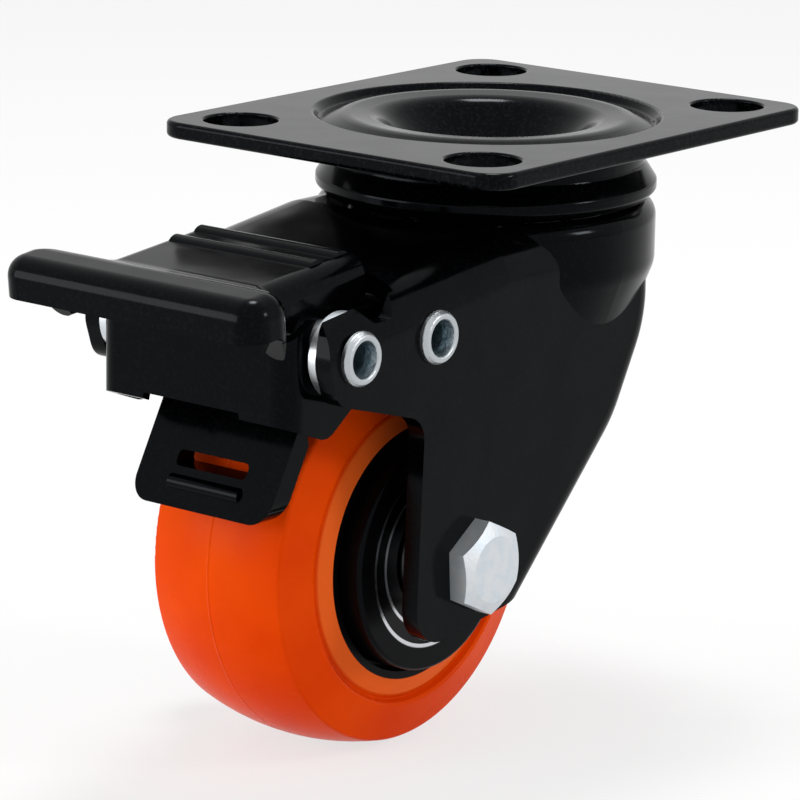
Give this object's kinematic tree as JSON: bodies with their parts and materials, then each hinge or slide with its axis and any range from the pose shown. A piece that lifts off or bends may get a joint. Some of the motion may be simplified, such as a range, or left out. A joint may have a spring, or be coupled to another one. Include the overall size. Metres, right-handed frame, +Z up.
{
  "type": "swivel castor",
  "caption": "Plate-mounted swivel castor with a ball-race head, pressed fork, soft-tread wheel on ball bearings and a foot pedal that works a tread brake.",
  "frame": {"origin": "middle of the top plate's top face, on the swivel axis", "axes": "+Z up through the plate along the swivel axis, +X along the axle towards the bolt's head, -Y the trailing side with the wheel and pedal"},
  "size_m": [0.051, 0.0953, 0.0717],
  "materials": {
    "black_paint": "gloss black enamel",
    "zinc": "bright zinc plate",
    "bearing_steel": "ground and polished steel",
    "spring_steel": "tempered, oiled",
    "orange_tyre": "smooth gloss elastomer",
    "black_plastic": "moulded satin",
    "blue_nylon": "moulded satin"
  },
  "bodies": {
    "plate_group": {"top_plate": "black_paint", "king_pin": "bearing_steel", "upper_race": "black_paint", "upper_balls": "bearing_steel", "lower_balls": "bearing_steel", "lower_race": "black_paint"},
    "fork_group": {"fork": "black_paint", "axle_bolt": "zinc", "axle_nut": "zinc", "nut_insert": "blue_nylon", "axle_tube": "zinc", "axle_spacers": "zinc", "right_bearing_inner_ring": "bearing_steel", "left_bearing_inner_ring": "bearing_steel", "front_rivet": "zinc", "rear_rivet": "zinc", "pivot_tube": "zinc", "rear_tube": "zinc", "pivot_washers": "zinc", "lock_spring": "spring_steel"},
    "wheel_group": {"tyre": "orange_tyre", "wheel_core": "black_plastic", "right_bearing_outer_ring": "bearing_steel", "right_bearing_balls": "bearing_steel", "right_bearing_shield": "bearing_steel", "left_bearing_outer_ring": "bearing_steel", "left_bearing_balls": "bearing_steel", "left_bearing_shield": "bearing_steel"},
    "pedal_group": {"pedal": "black_paint", "cam_pin": "bearing_steel"},
    "shoe_group": {"brake_channel": "black_paint", "brake_blade": "black_paint"}
  },
  "joints": [
    {"name": "swivel", "type": "hinge", "parent": "plate_group", "child": "fork_group", "pos_m": [0, 0, 0], "axis": [0, 0, 1], "continuous": true},
    {"name": "wheel_spin", "type": "hinge", "parent": "fork_group", "child": "wheel_group", "pos_m": [0, -0.0239, -0.0474], "axis": [1, 0, 0], "continuous": true},
    {"name": "pedal_press", "type": "hinge", "parent": "fork_group", "child": "pedal_group", "pos_m": [0, -0.0457, -0.0192], "axis": [1, 0, 0], "range_deg": [0, 20]},
    {"name": "shoe_swing", "type": "hinge", "parent": "fork_group", "child": "shoe_group", "pos_m": [0, -0.032, -0.0191], "axis": [1, 0, 0], "range_deg": [0, 4]}
  ],
  "couplings": [
    {"joint": "shoe_swing", "follows": "pedal_press", "ratio": 0.195}
  ]
}
